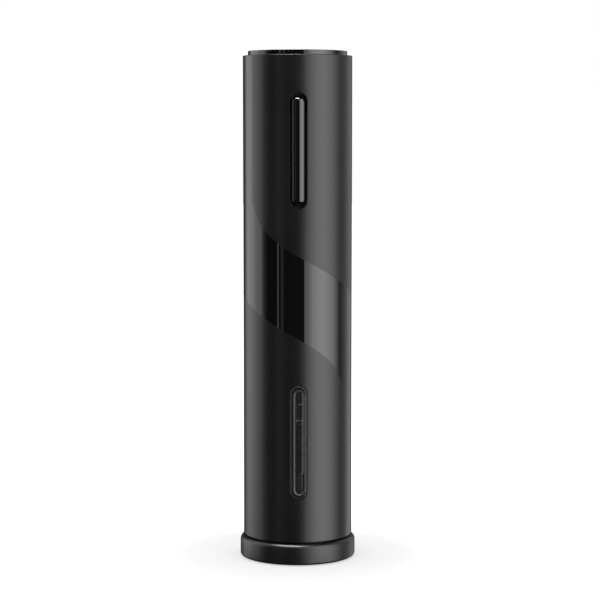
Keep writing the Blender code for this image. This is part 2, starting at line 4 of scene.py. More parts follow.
import bpy
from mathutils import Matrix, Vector


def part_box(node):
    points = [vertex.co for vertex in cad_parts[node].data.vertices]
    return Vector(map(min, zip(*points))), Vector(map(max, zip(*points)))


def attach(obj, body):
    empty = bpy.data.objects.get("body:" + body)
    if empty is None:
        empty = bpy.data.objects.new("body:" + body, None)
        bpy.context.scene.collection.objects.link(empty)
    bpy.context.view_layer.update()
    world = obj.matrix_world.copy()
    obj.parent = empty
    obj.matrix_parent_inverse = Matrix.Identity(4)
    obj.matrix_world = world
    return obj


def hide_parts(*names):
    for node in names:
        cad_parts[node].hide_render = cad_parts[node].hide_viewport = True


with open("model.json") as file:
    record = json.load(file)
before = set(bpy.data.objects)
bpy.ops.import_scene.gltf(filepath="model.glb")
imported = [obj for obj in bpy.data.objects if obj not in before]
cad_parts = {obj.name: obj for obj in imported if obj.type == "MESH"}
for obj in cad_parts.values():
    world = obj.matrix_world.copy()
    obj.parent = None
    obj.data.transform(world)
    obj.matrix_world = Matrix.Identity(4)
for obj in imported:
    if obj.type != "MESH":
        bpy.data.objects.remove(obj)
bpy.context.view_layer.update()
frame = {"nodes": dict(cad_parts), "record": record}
mm = 0.001
gap = 0.3 * mm      # air left between a piece and the pocket it sits in
tiny = 0.001 * mm   # points nearer to each other than this are at the same place

bodyLow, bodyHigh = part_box("body_tube")
bodyRadius = bodyHigh.x
buttonLow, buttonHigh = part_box("rocker_button")
buttonMiddle = (buttonLow.z + buttonHigh.z) / 2
lensLow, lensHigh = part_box("window_lens")
lensMiddle = (lensLow.z + lensHigh.z) / 2
capLow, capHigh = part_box("battery_cap")
ringLow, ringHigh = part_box("foil_cutter_ring")


def deselectAll():
    if bpy.context.object and bpy.context.object.mode != "OBJECT":
        bpy.ops.object.mode_set(mode="OBJECT")
    bpy.ops.object.select_all(action="DESELECT")


def openEdit(ob):
    deselectAll()
    ob.select_set(True)
    bpy.context.view_layer.objects.active = ob
    bpy.ops.object.mode_set(mode="EDIT")
    bpy.ops.mesh.select_all(action="DESELECT")


def closeEdit():
    bpy.ops.object.mode_set(mode="OBJECT")


def selectVerts(ob, test):
    # picks vertices by their place, then hands the choice back to edit mode
    bpy.ops.mesh.select_mode(type="VERT")
    bpy.ops.mesh.select_all(action="DESELECT")
    bpy.ops.object.mode_set(mode="OBJECT")
    for vert in ob.data.vertices:
        vert.select = test(vert.co)
    bpy.ops.object.mode_set(mode="EDIT")


def selectEdges(ob, test):
    bpy.ops.mesh.select_mode(type="EDGE")
    bpy.ops.mesh.select_all(action="DESELECT")
    bpy.ops.object.mode_set(mode="OBJECT")
    points = ob.data.vertices
    for edge in ob.data.edges:
        a, b = (points[i].co for i in edge.vertices)
        edge.select = test(a, b)
    bpy.ops.object.mode_set(mode="EDIT")


def settle(ob):
    # location, turn and size go into the mesh, so the object itself stays at the origin
    deselectAll()
    ob.select_set(True)
    bpy.context.view_layer.objects.active = ob
    bpy.ops.object.transform_apply(location=True, rotation=True, scale=True)


def smooth(ob, degrees=32):
    deselectAll()
    ob.select_set(True)
    bpy.context.view_layer.objects.active = ob
    bpy.ops.object.shade_smooth_by_angle(angle=math.radians(degrees))


def facesOutward(ob):
    openEdit(ob)
    bpy.ops.mesh.select_all(action="SELECT")
    bpy.ops.mesh.remove_doubles(threshold=tiny)
    bpy.ops.mesh.normals_make_consistent(inside=False)
    closeEdit()


def turnUp(name, profile, steps=160, closed=True):
    # a ring is pulled from one (radius, height) to the next, as on a potter's wheel
    deselectAll()
    radius, height = profile[0]
    bpy.ops.mesh.primitive_circle_add(vertices=steps, radius=radius, location=(0, 0, height))
    ob = bpy.context.object
    ob.name = name
    settle(ob)
    openEdit(ob)
    bpy.ops.mesh.select_all(action="SELECT")
    stops = profile[1:] + (profile[:1] if closed else [])
    for nextRadius, nextHeight in stops:
        bpy.ops.mesh.extrude_region_move(TRANSFORM_OT_translate={"value": (0, 0, nextHeight - height)})
        share = nextRadius / radius
        bpy.ops.transform.resize(value=(share, share, 1), center_override=(0, 0, nextHeight))
        radius, height = nextRadius, nextHeight
    if not closed:
        bpy.ops.mesh.select_all(action="DESELECT")
        bpy.ops.mesh.select_mode(type="EDGE")
        bpy.ops.mesh.select_non_manifold()
        bpy.ops.mesh.fill_holes(sides=0)
    closeEdit()
    facesOutward(ob)
    return ob


def roundCorner(centre, radius, start, end, steps):
    # points of a quarter round on a profile, angles from the outward direction
    angles = [math.radians(start + (end - start) * i / steps) for i in range(steps + 1)]
    return [(centre[0] + radius * math.cos(a), centre[1] + radius * math.sin(a)) for a in angles]


def pillPlate(name, width, height, back, front, middle, steps=24, across=0.0):
    # a flat pill that faces the front: two half circles joined up, then given their depth
    deselectAll()
    bpy.ops.mesh.primitive_circle_add(vertices=4 * steps, radius=width / 2, fill_type="NGON",
                                      location=(0, 0, 0), rotation=(math.radians(90), 0, 0))
    ob = bpy.context.object
    ob.name = name
    settle(ob)
    rise = (height - width) / 2
    openEdit(ob)
    selectVerts(ob, lambda co: co.z > tiny)
    bpy.ops.transform.translate(value=(0, 0, rise))
    selectVerts(ob, lambda co: co.z < -tiny)
    bpy.ops.transform.translate(value=(0, 0, -rise))
    # the two points on the middle line are dropped so the long sides run straight
    selectVerts(ob, lambda co: abs(co.z) < tiny)
    bpy.ops.mesh.dissolve_verts()
    bpy.ops.mesh.select_all(action="SELECT")
    bpy.ops.mesh.extrude_region_move(TRANSFORM_OT_translate={"value": (0, front - back, 0)})
    bpy.ops.mesh.select_all(action="SELECT")
    bpy.ops.transform.translate(value=(across, back, middle))
    closeEdit()
    facesOutward(ob)
    return ob


def modify(ob, kind, **settings):
    mod = ob.modifiers.new(kind.lower(), kind)
    for key, value in settings.items():
        setattr(mod, key, value)
    deselectAll()
    ob.select_set(True)
    bpy.context.view_layer.objects.active = ob
    bpy.ops.object.modifier_apply(modifier=mod.name)


def cut(ob, tool):
    modify(ob, "BOOLEAN", operation="DIFFERENCE", solver="EXACT", object=tool)
    bpy.data.objects.remove(tool)


def weld(ob, tool):
    modify(ob, "BOOLEAN", operation="UNION", solver="EXACT", object=tool)
    bpy.data.objects.remove(tool)


def finishPiece(ob, material, body, slot, *nodes):
    ob.data.materials.clear()
    ob.data.materials.append(material)
    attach(ob, body)
    if nodes:
        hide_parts(*nodes)


def newMaterial(name, colour, roughness, metallic=0.0):
    mat = bpy.data.materials.new(name)
    mat.use_nodes = True
    shader = mat.node_tree.nodes["Principled BSDF"]
    shader.inputs["Base Color"].default_value = (*colour, 1)
    shader.inputs["Roughness"].default_value = roughness
    shader.inputs["Metallic"].default_value = metallic
    return mat, mat.node_tree, shader


def addNode(tree, kind, **settings):
    node = tree.nodes.new("ShaderNode" + kind)
    for key, value in settings.items():
        setattr(node, key, value)
    return node


def math2(tree, operation, a, b):
    node = addNode(tree, "Math", operation=operation)
    for socket, value in zip(node.inputs, (a, b)):
        if isinstance(value, (int, float)):
            socket.default_value = value
        else:
            tree.links.new(value, socket)
    return node.outputs[0]


def noiseAt(tree, scale, detail=3.0, stretch=(1, 1, 1)):
    # noise laid on the object's own coordinates, in cycles per metre
    place = addNode(tree, "TexCoord")
    mapping = addNode(tree, "Mapping")
    mapping.inputs["Scale"].default_value = stretch
    tree.links.new(place.outputs["Object"], mapping.inputs["Vector"])
    noise = addNode(tree, "TexNoise")
    noise.inputs["Scale"].default_value = scale
    noise.inputs["Detail"].default_value = detail
    tree.links.new(mapping.outputs["Vector"], noise.inputs["Vector"])
    return noise.outputs["Fac"]


def rangeOf(tree, value, low, high):
    # noise seldom leaves 0.3 to 0.7, so that stretch is spread over low to high
    node = addNode(tree, "MapRange")
    node.inputs["From Min"].default_value = 0.3
    node.inputs["From Max"].default_value = 0.7
    node.inputs["To Min"].default_value = low
    node.inputs["To Max"].default_value = high
    tree.links.new(value, node.inputs["Value"])
    return node.outputs["Result"]


def mixColour(tree, factor, first, second):
    node = addNode(tree, "Mix", data_type="RGBA")
    for socket, value in ((node.inputs[6], first), (node.inputs[7], second)):
        socket.default_value = (*value, 1)
    tree.links.new(factor, node.inputs["Factor"])
    return node.outputs[2]


def bump(tree, shader, height, depth):
    node = addNode(tree, "Bump")
    node.inputs["Strength"].default_value = 1.0
    node.inputs["Distance"].default_value = depth
    tree.links.new(height, node.inputs["Height"])
    tree.links.new(node.outputs["Normal"], shader.inputs["Normal"])


def grained(name, dark, light, roughLow, roughHigh, metallic=0.0, scale=400, bumpScale=3000,
            bumpDepth=0.00001, stretch=(1, 1, 1), ior=1.5):
    # the common recipe: colour and roughness drift slowly, and a fine grain raises the surface
    mat, tree, shader = newMaterial(name, light, roughHigh, metallic)
    shader.inputs["IOR"].default_value = ior
    drift = noiseAt(tree, scale, 4.0, stretch)
    tree.links.new(mixColour(tree, drift, dark, light), shader.inputs["Base Color"])
    tree.links.new(rangeOf(tree, drift, roughLow, roughHigh), shader.inputs["Roughness"])
    bump(tree, shader, noiseAt(tree, bumpScale, 2.0, stretch), bumpDepth)
    return mat


def polishedBlack():
    rough = 0.02
    mat, tree, shader = newMaterial("polishedBlack", (0.0022, 0.0022, 0.0024), rough)
    smudge = noiseAt(tree, 90, 4.0)
    tree.links.new(mixColour(tree, smudge, (0.0018, 0.0018, 0.002), (0.003, 0.003, 0.0033)),
                   shader.inputs["Base Color"])
    tree.links.new(rangeOf(tree, smudge, rough * 0.7, rough * 1.5), shader.inputs["Roughness"])
    bump(tree, shader, noiseAt(tree, 120, 1.0), 0.000002)
    return mat


def softTouch():
    # rubbery paint: dim, fine-grained reflections with no clear edge to them
    mat, tree, shader = newMaterial("softTouchPaint", (0.006, 0.006, 0.0066), 0.29)
    shader.inputs["IOR"].default_value = 1.41
    drift = noiseAt(tree, 60, 3.0)
    speck = noiseAt(tree, 2600, 2.0)
    tree.links.new(mixColour(tree, drift, (0.0052, 0.0052, 0.0057), (0.0068, 0.0068, 0.0074)),
                   shader.inputs["Base Color"])
    grain = math2(tree, "MULTIPLY", math2(tree, "SUBTRACT", speck, 0.5), 0.05)
    tree.links.new(math2(tree, "ADD", rangeOf(tree, drift, 0.275, 0.305), grain),
                   shader.inputs["Roughness"])
    bump(tree, shader, noiseAt(tree, 5200, 2.0), 0.000005)
    return mat


def smokyClear():
    # dark see-through plastic: a fifth of the light passes, so the screw is only just made out
    mat, tree, shader = newMaterial("smokyClear", (0.008, 0.008, 0.009), 0.05)
    shader.inputs["Alpha"].default_value = 0.8
    haze = noiseAt(tree, 110, 3.0)
    tree.links.new(mixColour(tree, haze, (0.010, 0.010, 0.011), (0.020, 0.020, 0.021)),
                   shader.inputs["Base Color"])
    tree.links.new(rangeOf(tree, haze, 0.04, 0.08), shader.inputs["Roughness"])
    bump(tree, shader, noiseAt(tree, 160, 1.0), 0.000002)
    return mat


def paintedHighlightEdge():
    # painted highlight: the leaning edges of the clear plastic near the front are given a paler colour than
    # its flat faces, in place of the light they catch
    mat, tree, shader = newMaterial("paintedHighlightEdge", (0.04, 0.04, 0.042), 0.3)
    shader.inputs["Specular IOR Level"].default_value = 0.22
    # the paler colours mixed here are painted highlight, with a slow random drift
    haze = noiseAt(tree, 420, 4.0)
    tree.links.new(mixColour(tree, haze, (0.036, 0.036, 0.038), (0.068, 0.068, 0.070)),
                   shader.inputs["Base Color"])
    tree.links.new(rangeOf(tree, haze, 0.24, 0.36), shader.inputs["Roughness"])
    bump(tree, shader, noiseAt(tree, 900, 2.0), 0.000004)
    return mat


def circuitBoard():
    mat, tree, shader = newMaterial("circuitBoard", (0.01, 0.10, 0.04), 0.35)
    place = addNode(tree, "TexCoord")
    tracks = addNode(tree, "TexBrick", offset=0.35)
    tracks.inputs["Scale"].default_value = 260
    tracks.inputs["Mortar Size"].default_value = 0.12
    tracks.inputs["Color1"].default_value = (0.010, 0.105, 0.040, 1)
    tracks.inputs["Color2"].default_value = (0.012, 0.125, 0.048, 1)
    tracks.inputs["Mortar"].default_value = (0.03, 0.22, 0.09, 1)
    mapping = addNode(tree, "Mapping")
    mapping.inputs["Rotation"].default_value = (math.radians(90), 0, 0)
    tree.links.new(place.outputs["Object"], mapping.inputs["Vector"])
    tree.links.new(mapping.outputs["Vector"], tracks.inputs["Vector"])
    tree.links.new(tracks.outputs["Color"], shader.inputs["Base Color"])
    tree.links.new(rangeOf(tree, noiseAt(tree, 500, 2.0), 0.25, 0.45), shader.inputs["Roughness"])
    bump(tree, shader, tracks.outputs["Fac"], 0.00002)
    return mat


def cellJacket():
    # printed sleeve: dark body with a copper-coloured end, split by height on the cell
    mat, tree, shader = newMaterial("cellJacket", (0.04, 0.04, 0.045), 0.3)
    shader.inputs["Metallic"].default_value = 0.6
    place = addNode(tree, "TexCoord")
    split = addNode(tree, "SeparateXYZ")
    tree.links.new(place.outputs["Object"], split.inputs[0])
    low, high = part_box("cell_1")
    plainShare = 0.72   # of the cell's height, below the copper-coloured end
    level = low.z + (high.z - low.z) * plainShare
    top = math2(tree, "GREATER_THAN", split.outputs["Z"], level)
    tree.links.new(mixColour(tree, top, (0.03, 0.03, 0.034), (0.42, 0.19, 0.08)),
                   shader.inputs["Base Color"])
    tree.links.new(rangeOf(tree, noiseAt(tree, 700, 3.0), 0.22, 0.38), shader.inputs["Roughness"])
    bump(tree, shader, noiseAt(tree, 1500, 2.0), 0.000004)
    return mat


print("stage 1: finishes")
matteMaterial = softTouch()
glossMaterial = polishedBlack()
lensMaterial = smokyClear()
slotMaterials = {
    "soft_black": matteMaterial,
    "gloss_black": glossMaterial,
    "base_black": grained("satinBlack", (0.0050, 0.0050, 0.0055), (0.0075, 0.0075, 0.008), 0.26, 0.34,
                          scale=120, bumpScale=4200, bumpDepth=0.000005, ior=1.40),
    "inner_black": grained("mouldedBlack", (0.010, 0.010, 0.011), (0.016, 0.016, 0.017), 0.22, 0.34,
                           scale=150, bumpScale=1800, bumpDepth=0.000008),
    "smoke_clear": lensMaterial,
    "rubber_black": grained("softRubber", (0.008, 0.008, 0.008), (0.014, 0.014, 0.014), 0.62, 0.82,
                            scale=220, bumpScale=2600, bumpDepth=0.00003),
    "gear_white": grained("gearAcetal", (0.66, 0.65, 0.60), (0.74, 0.73, 0.68), 0.34, 0.5,
                          scale=260, bumpScale=1500, bumpDepth=0.00001),
    "steel": grained("brightSteel", (0.50, 0.50, 0.51), (0.66, 0.66, 0.67), 0.12, 0.26, 1.0,
                     scale=500, bumpScale=2200, bumpDepth=0.000006, stretch=(1, 1, 0.15)),
    "motor_zinc": grained("zincPlate", (0.42, 0.43, 0.44), (0.60, 0.61, 0.62), 0.26, 0.42, 1.0,
                          scale=650, bumpScale=1800, bumpDepth=0.00001),
    "bronze": grained("sinteredBronze", (0.32, 0.19, 0.08), (0.50, 0.31, 0.14), 0.34, 0.5, 1.0,
                      scale=1500, bumpScale=4000, bumpDepth=0.00002),
    "copper": grained("copperWinding", (0.50, 0.20, 0.09), (0.76, 0.36, 0.19), 0.24, 0.4, 1.0,
                      scale=900, bumpScale=1200, bumpDepth=0.00012, stretch=(1, 1, 0.05)),
    "board_green": circuitBoard(),
    "cell_jacket": cellJacket(),
    "wire_red": grained("wireRed", (0.36, 0.015, 0.012), (0.50, 0.03, 0.02), 0.38, 0.5,
                        scale=300, bumpScale=1500, bumpDepth=0.00001),
}
for entry in frame["record"]["subparts"]:
    node = frame["nodes"][entry["node"]]
    node.data.materials.clear()
    node.data.materials.append(slotMaterials[entry["material_slot"]])


bodyShape = {
    "wall": 1.8 * mm,
    "topRound": 0.4 * mm,
    "bottomRound": 0.35 * mm,
    "lip": 0.25 * mm,          # chamfer inside the open top
    "holeEdge": 0.1 * mm,
    "buttonHole": (7.6 * mm, 50.0 * mm),
    "windowHole": (7.6 * mm, 50.2 * mm),
    "cutter": (-15 * mm, -26 * mm),   # back and front of the tools that cut the holes
    "steps": 180,
    # the glossy band between the two painted areas; heights are taken at the front
    "upperEdge": 134.7 * mm,
    "lowerEdge": 99.3 * mm,
    "slope": 0.225 * mm,       # fall per degree to the right
    "turnAt": 56,              # degrees from the front where the band turns upright
    "sweep": 10.9 * mm,        # extra rise just before the turn
    "sweepLength": 14.0,       # degrees over which the sweep fades
}


def sideAngle(co):
    # degrees to the right of the front, with the back folded over onto the front
    return math.degrees(math.atan2(co.x, abs(co.y)))


def bandEdge(degrees):
    # how far the band's upper edge lies above its height at the front
    s = bodyShape
    held = max(degrees, -s["turnAt"])
    return s["sweep"] * math.exp(-(held + s["turnAt"]) / s["sweepLength"]) - s["slope"] * held


def isPainted(co):
    s = bodyShape
    degrees = sideAngle(co)
    above = degrees > -s["turnAt"] and co.z > s["upperEdge"] + bandEdge(degrees)
    below = degrees < s["turnAt"] and co.z < s["lowerEdge"] - bandEdge(-degrees)
    return above or below


def onPillEdge(co, size, middle):
    # whether a point of the outside surface lies on the rim of a pill-shaped hole
    near = 0.03 * mm
    skin = 0.05 * mm
    half = size[0] / 2
    rise = size[1] / 2 - half
    along = max(-rise, min(rise, co.z - middle))
    away = math.hypot(co.x, co.z - middle - along)
    return co.y < 0 and abs(away - half) < near and math.hypot(co.x, co.y) > bodyRadius - skin


def makeBody():
    s = bodyShape
    inner = bodyRadius - s["wall"]
    t, b = s["topRound"], s["bottomRound"]
    profile = [(inner, bodyLow.z)]
    profile += roundCorner((bodyRadius - b, bodyLow.z + b), b, -90, 0, 4)
    profile += [(bodyRadius, s["lowerEdge"]), (bodyRadius, s["upperEdge"])]
    profile += roundCorner((bodyRadius - t, bodyHigh.z - t), t, 0, 90, 6)
    profile += [(inner + s["lip"], bodyHigh.z), (inner, bodyHigh.z - s["lip"])]
    body = turnUp("bodyShell", profile, s["steps"])
    openEdit(body)
    # the two rings are drawn up and down, column by column, into the edges of the band
    step = 360 / s["steps"]
    for column in range(s["steps"] // 2 + 1):
        degrees = -90 + step * column
        for level, lift in ((s["upperEdge"], bandEdge(degrees)), (s["lowerEdge"], -bandEdge(-degrees))):
            selectVerts(body, lambda co: abs(co.z - level) < tiny and abs(sideAngle(co) - degrees) < step / 4)
            bpy.ops.transform.translate(value=(0, 0, lift))
    closeEdit()
    holes = ((s["buttonHole"], buttonMiddle), (s["windowHole"], lensMiddle))
    for size, middle in holes:
        cut(body, pillPlate("holeTool", *size, *s["cutter"], middle))
    openEdit(body)
    selectEdges(body, lambda a, b: any(onPillEdge(a, *hole) and onPillEdge(b, *hole) for hole in holes))
    bpy.ops.mesh.bevel(offset=s["holeEdge"], segments=2)
    closeEdit()
    smooth(body, 40)
    modify(body, "WEIGHTED_NORMAL", keep_sharp=True)
    finishPiece(body, glossMaterial, "housing", "soft_black", "body_tube")
    body.data.materials.append(matteMaterial)
    for face in body.data.polygons:
        face.material_index = 1 if isPainted(face.center) else 0


capShape = {
    "edgeRound": 0.2 * mm,
    "rim": 2.6 * mm,
    "rimSlope": (0.3 * mm, 0.9 * mm),   # where the slope from the rim to the dish bends and ends
    "dish": 0.35 * mm,
    "centre": 0.8 * mm,        # the turned outline starts and ends here, and is closed flat
    # heights of the next four are taken down from the top
    "sealGroove": (3.0 * mm, 4.5 * mm),
    "skirtEnd": 4.9 * mm,
    "lugTop": 8.4 * mm,
    "recessTop": 2.6 * mm,
    "grooveDepth": 1.35 * mm,
    "neck": 19.7 * mm,
    "lug": 21.2 * mm,
    "recess": (18.5 * mm, 16.0 * mm),
    "gapHalf": 48,             # half of each gap between the lugs, in degrees
    "gapRadius": 22.0 * mm,
    "gapShare": 0.902,         # the gap's inner radius over its outer one
    "gapHeight": 2.3 * mm,
    "gapBelow": 0.5 * mm,
}


def lugGapTool(centre):
    # a stretch of a flat ring, given its height
    s = capShape
    half = math.radians(s["gapHalf"])
    deselectAll()
    bpy.ops.mesh.primitive_circle_add(vertices=96, radius=s["gapRadius"],
                                      location=(0, 0, capLow.z - s["gapBelow"]))
    tool = bpy.context.object
    settle(tool)
    openEdit(tool)
    selectVerts(tool, lambda co: abs((math.atan2(co.y, co.x) - centre + math.pi) % math.tau - math.pi) > half)
    bpy.ops.mesh.delete(type="VERT")
    bpy.ops.mesh.select_all(action="SELECT")
    bpy.ops.mesh.extrude_region_move(TRANSFORM_OT_translate={"value": (0, 0, 0)})
    bpy.ops.transform.resize(value=(s["gapShare"], s["gapShare"], 1), center_override=(0, 0, 0))
    bpy.ops.mesh.select_all(action="SELECT")
    bpy.ops.mesh.extrude_region_move(TRANSFORM_OT_translate={"value": (0, 0, s["gapHeight"])})
    closeEdit()
    facesOutward(tool)
    return tool


def makeCap():
    s = capShape
    outer, top, bottom = capHigh.x, capHigh.z, capLow.z
    r = s["edgeRound"]
    rimInner = outer - r - s["rim"]
    bend, end = s["rimSlope"]
    grooveTop, grooveEnd = (top - depth for depth in s["sealGroove"])
    grooveFloor = outer - s["grooveDepth"]
    skirtEnd = top - s["skirtEnd"]
    lugTop = top - s["lugTop"]
    recessTop = top - s["recessTop"]
    recessOuter, recessInner = s["recess"]
    profile = [(s["centre"], top - s["dish"]), (rimInner - end, top - s["dish"])]
    profile += [(rimInner - bend, top - s["dish"] * 0.4), (rimInner, top)]
    profile += roundCorner((outer - r, top - r), r, 90, 0, 8)
    profile += [(outer, grooveTop), (grooveFloor, grooveTop), (grooveFloor, grooveEnd), (outer, grooveEnd),
                (outer, skirtEnd), (s["neck"], skirtEnd), (s["neck"], lugTop), (s["lug"], lugTop),
                (s["lug"], bottom), (recessOuter, bottom), (recessOuter, recessTop),
                (recessInner, recessTop), (recessInner, bottom), (s["centre"], bottom)]
    cap = turnUp("capShell", profile, 192, closed=False)
    for i in range(3):
        # what is left between the cuts are the three bayonet lugs
        cut(cap, lugGapTool(math.radians(120 * i + 60)))
    smooth(cap, 35)
    finishPiece(cap, glossMaterial, "cap", "gloss_black", "battery_cap")


rockerShape = {
    "width": 6.2 * mm,
    "height": 47.1 * mm,
    "crown": 24.7 * mm,
    "crownRadius": 3.6 * mm,   # curve of the front
    "crownHalf": 2.2 * mm,     # the curve ends in a narrow facet here
    "crownSteps": 13,
    "facet": 0.72 * mm,
    "shoulder": 0.28 * mm,     # fall from the facet to the upright side
    "base": 21.4 * mm,
    "lap": 0.3 * mm,           # how far the neck runs into the cap
    "neckBack": -20.0 * mm,
    "flange": (9.2 * mm, 52.0 * mm),
    "flangeDepth": (-19.6 * mm, -20.4 * mm),
    "pivotY": -18.6 * mm,
    "lug": (5.2 * mm, 2.5 * mm, 2.8 * mm),
    "lugEdge": 0.4 * mm,
    "lugForward": 0.05 * mm,
    "pinHole": 0.8 * mm,
}


def rockerCap():
    # half of the crown's outline is turned round the button's front-to-back line,
    # and the two halves of the disc are then drawn apart
    s = rockerShape
    half = s["width"] / 2
    base = s["base"]
    bend = s["crownRadius"]
    steps = s["crownSteps"]
    last = math.asin(s["crownHalf"] / bend)
    angles = [last * (i + 0.5) / (steps - 0.5) for i in range(steps)]
    profile = [(bend * math.sin(a), s["crown"] - bend * (1 - math.cos(a))) for a in angles]
    out, height = profile[-1]
    profile += [(out + s["facet"], height - s["facet"]), (half, height - s["facet"] - s["shoulder"]),
                (half, base), (profile[0][0], base)]
    rocker = turnUp("rockerCap", profile, 64, closed=False)
    rocker.rotation_euler = (math.radians(90), 0, 0)
    settle(rocker)
    rise = s["height"] / 2 - half
    openEdit(rocker)
    bpy.ops.mesh.select_all(action="SELECT")
    bpy.ops.mesh.bisect(plane_co=(0, 0, 0), plane_no=(0, 0, 1))
    # the upper half is split off and lifted, and the gap between the halves is bridged
    selectVerts(rocker, lambda co: co.z > -tiny)
    bpy.ops.mesh.split()
    bpy.ops.transform.translate(value=(0, 0, rise))
    bpy.ops.mesh.select_all(action="INVERT")
    bpy.ops.transform.translate(value=(0, 0, -rise))
    bpy.ops.mesh.select_all(action="DESELECT")
    bpy.ops.mesh.select_mode(type="EDGE")
    bpy.ops.mesh.select_non_manifold()
    bpy.ops.mesh.bridge_edge_loops()
    bpy.ops.mesh.select_all(action="SELECT")
    bpy.ops.transform.translate(value=(0, 0, buttonMiddle))
    closeEdit()
    facesOutward(rocker)
    return rocker


def makeRocker():
    s = rockerShape
    rocker = rockerCap()
    flange = pillPlate("rockerFlange", *s["flange"], *s["flangeDepth"], buttonMiddle)
    neckFront = -s["base"] - s["lap"]
    neck = pillPlate("rockerNeck", s["width"], s["height"], s["neckBack"], neckFront, buttonMiddle)
    weld(rocker, neck)
    weld(rocker, flange)
    deselectAll()
    bpy.ops.mesh.primitive_cube_add(size=1, location=(0, s["pivotY"] - s["lugForward"], buttonMiddle))
    lug = bpy.context.object
    lug.scale = s["lug"]
    settle(lug)
    modify(lug, "BEVEL", width=s["lugEdge"], segments=3)
    weld(rocker, lug)
    deselectAll()
    bpy.ops.mesh.primitive_cylinder_add(vertices=32, radius=s["pinHole"], depth=9 * mm,
                                        location=(0, s["pivotY"], buttonMiddle),
                                        rotation=(0, math.radians(90), 0))
    bore = bpy.context.object
    settle(bore)
    cut(rocker, bore)
    smooth(rocker, 35)
    finishPiece(rocker, glossMaterial, "rocker", "gloss_black", "rocker_button")
    # the flange and neck, down in the gap, are left as moulded
    rocker.data.materials.append(slotMaterials["rubber_black"])
    hidden = -s["base"] + 0.02 * mm
    for face in rocker.data.polygons:
        face.material_index = 1 if face.center.y > hidden else 0


lensShape = {
    "front": 24.0 * mm,
    "step": 21.1 * mm,
    "back": 20.4 * mm,
    "lap": 0.3 * mm,                    # how far the window runs into its flange
    "pill": (7.0 * mm, 49.6 * mm),
    "flange": (10.6 * mm, 53.2 * mm),
    "edge": 0.45 * mm,
    "channel": (5.0 * mm, 46.2 * mm),   # sunk panel, a little to the right of the middle
    "channelShift": 0.45 * mm,
    "channelDepth": 0.35 * mm,
    "channelTaper": 0.5 * mm,           # how much each wall leans
    "floorRadius": 14.0 * mm,
    "paintedHighlightDepth": 0.75 * mm,             # edges this near the front get the painted highlight
    "flatShare": 0.94,                  # a face is flat when this much of its normal points ahead
}

markShape = {
    "back": 1.6 * mm,                   # backs and fronts of the raised marks, behind the front
    "front": 0.15 * mm,
    "edge": 0.3 * mm,
    "tab": (2.7 * mm, 9.0 * mm),
    "tabTop": 71.0 * mm,
    "archWidth": 2.8 * mm,
    "archTop": 40.8 * mm,
    "archLow": 32.6 * mm,
    "seatLine": 63.7 * mm,
    "seatEnds": (-1.7 * mm, 2.4 * mm),
    "seatWire": 0.26 * mm,
    "seatSunk": 0.05 * mm,
    "ribAt": 1.5 * mm,
    "ribLow": 33.4 * mm,
    "ribWire": 0.22 * mm,
    "ribSunk": 0.1 * mm,
}


def channelTool():
    # the panel's cutter: leaning walls, and a floor rounded like the tube behind it
    s = lensShape
    deep = 1.2 * mm
    lean = s["channelTaper"] * deep / s["channelDepth"]
    width, height = s["channel"]
    tool = pillPlate("channelTool", width, height, -(s["front"] - deep), -s["front"], lensMiddle,
                     32, s["channelShift"])
    openEdit(tool)
    selectVerts(tool, lambda co: -co.y < s["front"] - deep / 2)
    share = ((width - 2 * lean) / width, 1, (height - 2 * lean) / height)
    bpy.ops.transform.resize(value=share, center_override=(s["channelShift"], 0, lensMiddle))
    selectVerts(tool, lambda co: -co.y > s["front"] - deep / 2)
    grow = 1 * mm
    outward = s["channelTaper"] * grow / s["channelDepth"]
    share = ((width + 2 * outward) / width, 1, (height + 2 * outward) / height)
    bpy.ops.transform.resize(value=share, center_override=(s["channelShift"], 0, lensMiddle))
    bpy.ops.transform.translate(value=(0, -grow, 0))
    closeEdit()
    deselectAll()
    crest = s["front"] - s["channelDepth"]
    bpy.ops.mesh.primitive_cylinder_add(vertices=240, radius=s["floorRadius"], depth=80 * mm,
                                        location=(0, s["floorRadius"] - crest, lensMiddle))
    floor = bpy.context.object
    settle(floor)
    cut(tool, floor)
    return tool


def roundedBar(name, radius, start, end):
    # a straight rod with rounded ends between two points
    start, end = Vector(start), Vector(end)
    deselectAll()
    turnTo = (end - start).to_track_quat("Z", "Y").to_euler()
    bpy.ops.mesh.primitive_cylinder_add(vertices=24, radius=radius, depth=(end - start).length,
                                        location=(start + end) / 2, rotation=turnTo)
    bar = bpy.context.object
    bar.name = name
    settle(bar)
    modify(bar, "BEVEL", width=radius * 0.7, segments=4, limit_method="ANGLE", angle_limit=math.radians(60))
    return bar


def windowMarks():
    # raised marks inside the panel: a tab over the seat, an arch, the seat's line and a rib
    s, m = lensShape, markShape
    back = -(s["front"] - m["back"])
    raised = -(s["front"] - m["front"])
    tabWidth, tabHeight = m["tab"]
    archHeight = m["archTop"] - m["archLow"]
    tab = pillPlate("seatTab", tabWidth, tabHeight, back, raised, m["tabTop"] - tabHeight / 2,
                    16, s["channelShift"])
    arch = pillPlate("mouthArch", m["archWidth"], archHeight, back, raised, m["archTop"] - archHeight / 2,
                     16, m["ribAt"])
    for mark in (tab, arch):
        openEdit(mark)
        selectEdges(mark, lambda a, b: max(a.y, b.y) < raised + tiny)
        bpy.ops.mesh.bevel(offset=m["edge"], segments=3)
        closeEdit()
    crest = s["front"] - s["channelDepth"]
    seatY = -crest - m["seatSunk"]
    ribY = -crest - m["ribSunk"]
    left, right = m["seatEnds"]
    line = roundedBar("seatRib", m["seatWire"], (left, seatY, m["seatLine"]), (right, seatY, m["seatLine"]))
    rib = roundedBar("uprightRib", m["ribWire"], (m["ribAt"], ribY, m["ribLow"]),
                     (m["ribAt"], ribY, m["seatLine"]))
    return tab, arch, line, rib


def isPaintedHighlightFace(face):
    # leaning faces near the front, which get the painted highlight
    s = lensShape
    return -face.center.y > s["front"] - s["paintedHighlightDepth"] and abs(face.normal.y) < s["flatShare"]


